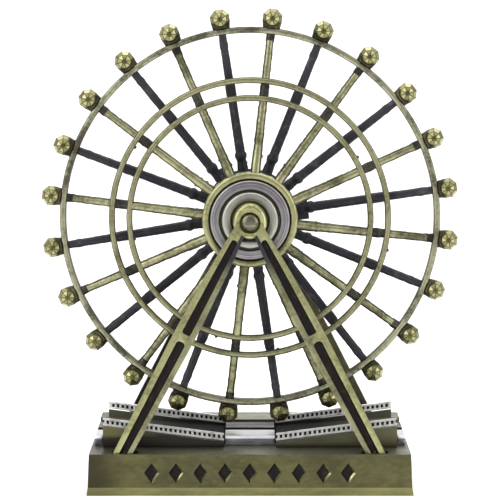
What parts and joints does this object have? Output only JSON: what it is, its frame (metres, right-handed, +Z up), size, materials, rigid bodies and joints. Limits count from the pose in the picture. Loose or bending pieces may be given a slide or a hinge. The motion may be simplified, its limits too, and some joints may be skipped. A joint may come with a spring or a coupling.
{
  "type": "tabletop ferris wheel model",
  "caption": "Cast metal desk model of a ferris wheel: a spoked wheel with faceted capsules turns by hand on a pin between A-frames over a base with sloping ramps.",
  "frame": {"origin": "middle of the base's underside", "axes": "+X along the base to the right seen from the front, +Y from the front to the back along the axle, +Z up"},
  "size_m": [0.1116, 0.043, 0.1267],
  "materials": {
    "bright_bronze": "antique bronze plating rubbed bright on its edges",
    "dark_bronze": "dark antique bronze patina",
    "blackened_bronze": "blackened cast metal, satin",
    "cast_bronze": "olive bronze patina over die-cast metal, satin",
    "silver_plate": "silver plating with a thin dark patina in the recesses",
    "black_felt": "matt felt"
  },
  "bodies": {
    "stand": {"base_shell": "cast_bronze", "felt_pad": "black_felt", "platform_plate": "silver_plate", "front_a_frame": "bright_bronze", "rear_a_frame": "bright_bronze", "axle_pin": "cast_bronze", "axle_nut": "cast_bronze", "front_spacer": "dark_bronze", "rear_spacer": "dark_bronze", "right_ramp": "cast_bronze", "right_front_railing": "silver_plate", "right_front_leg_screw": "cast_bronze", "right_rear_railing": "silver_plate", "right_rear_leg_screw": "cast_bronze", "left_ramp": "cast_bronze", "left_front_railing": "silver_plate", "left_front_leg_screw": "cast_bronze", "left_rear_railing": "silver_plate", "left_rear_leg_screw": "cast_bronze"},
    "wheel": {"outer_rim": "bright_bronze", "front_spoke_spider": "bright_bronze", "rear_spoke_spider": "blackened_bronze", "outer_spoke_ring": "bright_bronze", "inner_spoke_ring": "bright_bronze", "hub_barrel": "cast_bronze", "front_hub_disc": "silver_plate", "rear_hub_disc": "silver_plate", "capsule_01": "bright_bronze", "capsule_02": "bright_bronze", "capsule_03": "bright_bronze", "capsule_04": "bright_bronze", "capsule_05": "bright_bronze", "capsule_06": "bright_bronze", "capsule_07": "bright_bronze", "capsule_08": "bright_bronze", "capsule_09": "bright_bronze", "capsule_10": "bright_bronze", "capsule_11": "bright_bronze", "capsule_12": "bright_bronze", "capsule_13": "bright_bronze", "capsule_14": "bright_bronze", "capsule_15": "bright_bronze", "capsule_16": "bright_bronze", "capsule_17": "bright_bronze", "capsule_18": "bright_bronze", "capsule_19": "bright_bronze", "capsule_20": "bright_bronze", "capsule_21": "bright_bronze", "capsule_22": "bright_bronze", "capsule_23": "bright_bronze", "capsule_24": "bright_bronze"}
  },
  "joints": [
    {"name": "wheel_spin", "type": "hinge", "parent": "stand", "child": "wheel", "pos_m": [0, 0, 0.0709], "axis": [0, 1, 0], "continuous": true}
  ]
}
